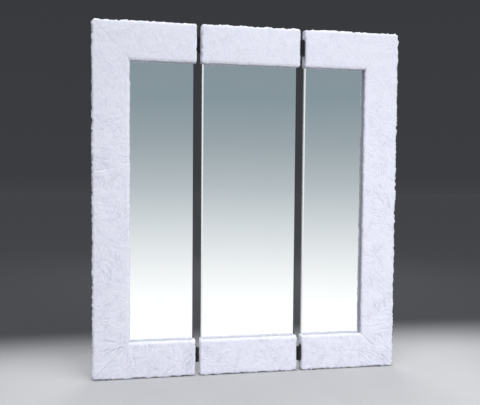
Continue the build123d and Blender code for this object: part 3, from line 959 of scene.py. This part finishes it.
def mirror_finish():
    """Silvered front and bevels, and rough ground glass on the edges and the back."""
    finish = Finish("mirror", Metallic=1.0)
    facing = finish.add("SeparateXYZ", Vector=finish.place.outputs["Normal"]).outputs["Y"]
    silvered = finish.math("LESS_THAN", facing, -0.9)
    haze = finish.noise(5.5, 3)
    silver = finish.blend(haze, (0.90, 0.93, 0.935), (0.93, 0.95, 0.955))
    ground = finish.blend(finish.noise(90, 2), (0.62, 0.72, 0.70), (0.80, 0.86, 0.85))
    finish.feed("Base Color", finish.mix(silvered, ground, silver))
    finish.feed("Metallic", silvered)
    clean = finish.between(haze, 0.0, 0.012)
    rough = finish.add("Mix", {"data_type": "FLOAT"}, _0=silvered, _2=0.42, _3=clean)
    finish.feed("Roughness", rough.outputs[0])
    return finish.material


def board_finish():
    """White melamine laminate with a faint pearled surface."""
    finish = Finish("white_board", Roughness=0.38)
    finish.feed("Base Color", finish.blend(finish.noise(9, 4), (0.80, 0.80, 0.80), (0.87, 0.87, 0.865)))
    finish.feed("Roughness", finish.between(finish.noise(30, 3), 0.32, 0.46))
    finish.bump(finish.noise(700, 2), 0.08 * MM, 0.5)
    return finish.material


def lining_finish():
    """Dark non-woven cloth with pressed fibres."""
    finish = Finish("back_lining", Roughness=0.93, Sheen_Weight=0.2)
    fibres = finish.noise(900, 5, stretch=(1, 1, 0.5), distortion=1.5)
    colour = finish.blend(fibres, (0.025, 0.025, 0.028), (0.085, 0.085, 0.092), places=[0.3, 0.7])
    finish.feed("Base Color", colour)
    finish.bump(finish.math("ADD", fibres, finish.cells(420.0)), 0.25 * MM, 0.7)
    return finish.material


def timber_finish():
    """Sawn pine with its grain drawn out along Z."""
    finish = Finish("core_timber", Roughness=0.7)
    grain = finish.noise(60, 6, stretch=(1, 1, 0.06), distortion=0.8)
    colour = finish.blend(grain, (0.50, 0.34, 0.18), (0.74, 0.58, 0.37), places=[0.35, 0.65])
    finish.feed("Base Color", colour)
    finish.bump(grain, 0.2 * MM, 0.6)
    return finish.material


def wadding_finish():
    """Soft polyester fibre."""
    finish = Finish("wadding", Roughness=0.95)
    fibres = finish.noise(300, 5, distortion=2.0)
    finish.feed("Base Color", finish.blend(fibres, (0.80, 0.80, 0.78), (0.92, 0.92, 0.91)))
    finish.bump(fibres, 0.6 * MM, 0.8)
    return finish.material


def tape_finish():
    """Dark closed-cell foam tape."""
    finish = Finish("mounting_tape", Roughness=0.8)
    cells = finish.cells(1500.0)
    finish.feed("Base Color", finish.blend(cells, (0.03, 0.03, 0.03), (0.07, 0.07, 0.07)))
    finish.bump(cells, 0.1 * MM, 0.6)
    return finish.material


def metal_finish(name, dark, light, roughness, stretch=(1, 1, 1)):
    """Plated or brushed metal with fine scratches."""
    finish = Finish(name, Metallic=1.0)
    brush = finish.noise(600, 4, stretch=stretch)
    finish.feed("Base Color", finish.blend(finish.noise(70, 3), dark, light))
    finish.feed("Roughness", finish.between(brush, roughness - 0.08, roughness + 0.1))
    finish.bump(brush, 0.03 * MM, 0.5)
    return finish.material


def glide_finish():
    """Black moulded nylon, a little scuffed."""
    finish = Finish("glide_nylon")
    scuffs = finish.noise(260, 4)
    finish.feed("Base Color", finish.blend(scuffs, (0.012, 0.012, 0.013), (0.035, 0.035, 0.037)))
    finish.feed("Roughness", finish.between(scuffs, 0.38, 0.6))
    finish.bump(scuffs, 0.05 * MM, 0.5)
    return finish.material


HINGE_DARK = (0.035, 0.035, 0.038)
HINGE_LIGHT = (0.075, 0.075, 0.08)
FINISHES = {
    "white_fur": fur_finish(),
    "wadding": wadding_finish(),
    "core_timber": timber_finish(),
    "white_board": board_finish(),
    "mirror": mirror_finish(),
    "mounting_tape": tape_finish(),
    "back_lining": lining_finish(),
    "staple_wire": metal_finish("staple_wire", (0.50, 0.50, 0.50), (0.68, 0.68, 0.67), 0.36),
    "screw_steel": metal_finish("screw_steel", (0.52, 0.51, 0.46), (0.70, 0.69, 0.64), 0.32),
    "glide_nylon": glide_finish(),
    "hinge_black": metal_finish("hinge_black", HINGE_DARK, HINGE_LIGHT, 0.38, stretch=(1, 1, 0.05)),
}


def finish_part_nodes():
    """Gives every node of the part the finish of its slot."""
    for subpart in frame["record"]["subparts"]:
        piece = frame["nodes"][subpart["node"]]
        for material_slot in piece.material_slots:
            material_slot.material = FINISHES[subpart["material_slot"]]


def dress_panel(side, outer, members):
    """Builds a panel's pads, and ties them to its body."""
    creases = panel_creases(outer, members)
    staples = staple_places(side)
    for pad in members:
        piece = build_pad(pad, creases, staples)
        piece.data.materials.append(FINISHES["white_fur"])
        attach(piece, f"{side}_panel")
        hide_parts(f"{side}_fur_{pad.member}", f"{side}_wadding_{pad.member}")


# The studio


def build_floor():
    """A plain pale floor with a painted pool of light: pale round the screen and painted darker behind and
    beside it, kept out of the mirrors.
    """
    mesh = bpy.data.meshes.new("floor")
    half = FLOOR_HALF
    corners = [(-half, -half, 0), (half, -half, 0), (half, half, 0), (-half, half, 0)]
    mesh.from_pydata(corners, [], [(0, 1, 2, 3)])
    floor = add_object("floor", mesh)
    floor.visible_glossy = False
    finish = Finish("floor", Roughness=0.9, Specular_IOR_Level=0.2)
    pale = finish.blend(finish.noise(2.5, 4), *FLOOR_PALE)
    place = finish.add("SeparateXYZ", Vector=finish.place.outputs["Object"])
    sideways = finish.math("ABSOLUTE", place.outputs["X"])
    smooth = {"interpolation_type": "SMOOTHSTEP"}
    behind = finish.add("MapRange", smooth, Value=place.outputs["Y"], **FLOOR_FADE_BEHIND)
    aside = finish.add("MapRange", smooth, Value=sideways, **FLOOR_FADE_ASIDE)
    near = finish.math("MULTIPLY", behind.outputs[0], aside.outputs[0])
    # painted pool of light: pale near the screen, fading to painted shade behind and beside it
    finish.feed("Base Color", finish.mix(near, FLOOR_PAINTED_SHADE, pale))
    mesh.materials.append(finish.material)


def world_mix(tree, direction, span, first, second):
    """Goes from one colour to another as part of the direction crosses a span."""
    share = tree.nodes.new("ShaderNodeMapRange")
    share.interpolation_type = "SMOOTHSTEP"
    share.inputs["From Min"].default_value = span[0]
    share.inputs["From Max"].default_value = span[1]
    tree.links.new(direction, share.inputs["Value"])
    mix = tree.nodes.new("ShaderNodeMix")
    mix.data_type = "RGBA"
    tree.links.new(share.outputs[0], mix.inputs[0])
    join(tree, first, mix.inputs[6])
    join(tree, second, mix.inputs[7])
    return mix.outputs[2]


def build_world():
    """Surroundings that light the scene softly and show in the mirrors.

    In front they are bright low down, dim above that and bright overhead, with a pale panel on the left.
    Behind, and past both ends of the front, they are dark grey and bright overhead.
    """
    world = bpy.data.worlds.new("studio")
    bpy.context.scene.world = world
    world.use_nodes = True
    tree = world.node_tree
    place = tree.nodes.new("ShaderNodeTexCoord")
    parts = tree.nodes.new("ShaderNodeSeparateXYZ")
    tree.links.new(place.outputs["Generated"], parts.inputs[0])
    climb = tree.nodes.new("ShaderNodeMapRange")
    climb.inputs["From Min"].default_value = SKY_CLIMB[0]
    climb.inputs["From Max"].default_value = SKY_CLIMB[1]
    tree.links.new(parts.outputs["Z"], climb.inputs["Value"])
    ahead = colour_ramp(tree, climb.outputs[0], SKY_AHEAD)
    behind = colour_ramp(tree, climb.outputs[0], SKY_BEHIND)
    colour = world_mix(tree, parts.outputs["X"], PALE_PANEL_SPAN, ahead, PALE_PANEL)
    colour = world_mix(tree, parts.outputs["X"], LEFT_DARK_SPAN, colour, behind)
    colour = world_mix(tree, parts.outputs["X"], RIGHT_DARK_SPAN, colour, behind)
    colour = world_mix(tree, parts.outputs["Y"], BEHIND_SPAN, colour, behind)
    tree.links.new(colour, tree.nodes["Background"].inputs["Color"])


def add_light(name, at, target, size, power):
    """A soft rectangular light, out of sight of the camera and the mirrors."""
    data = bpy.data.lights.new(name, "AREA")
    data.shape = "RECTANGLE"
    data.size = size[0]
    data.size_y = size[1]
    data.energy = power
    light = add_object(name, data)
    light.location = at
    light.rotation_euler = (Vector(target) - Vector(at)).to_track_quat("-Z", "Y").to_euler()
    light.visible_camera = False
    light.visible_glossy = False


def add_camera():
    """A camera a little above the screen's middle height, left of it and turned towards its middle."""
    forward = Vector(
        (
            math.sin(CAMERA_TURN) * math.cos(CAMERA_DIP),
            math.cos(CAMERA_TURN) * math.cos(CAMERA_DIP),
            -math.sin(CAMERA_DIP),
        )
    )
    right = Vector((math.cos(CAMERA_TURN), -math.sin(CAMERA_TURN), 0))
    up = right.cross(forward)
    rolled_right = right * math.cos(CAMERA_ROLL) + up * math.sin(CAMERA_ROLL)
    rolled_up = up * math.cos(CAMERA_ROLL) - right * math.sin(CAMERA_ROLL)
    data = bpy.data.cameras.new("camera")
    data.lens = CAMERA_LENS
    data.sensor_width = SENSOR_WIDTH
    camera = add_object("camera", data)
    turn = Matrix((rolled_right, rolled_up, -forward)).transposed()
    camera.matrix_world = Matrix.Translation(CAMERA_AT) @ turn.to_4x4()
    bpy.context.scene.camera = camera


finish_part_nodes()
every_pad = pads()
for side, outer in SIDES.items():
    dress_panel(side, outer, [pad for pad in every_pad if pad.side == side])

build_floor()
build_world()
for light in LIGHTS:
    add_light(*light)
add_camera()
bpy.context.scene.view_settings.view_transform = "Standard"
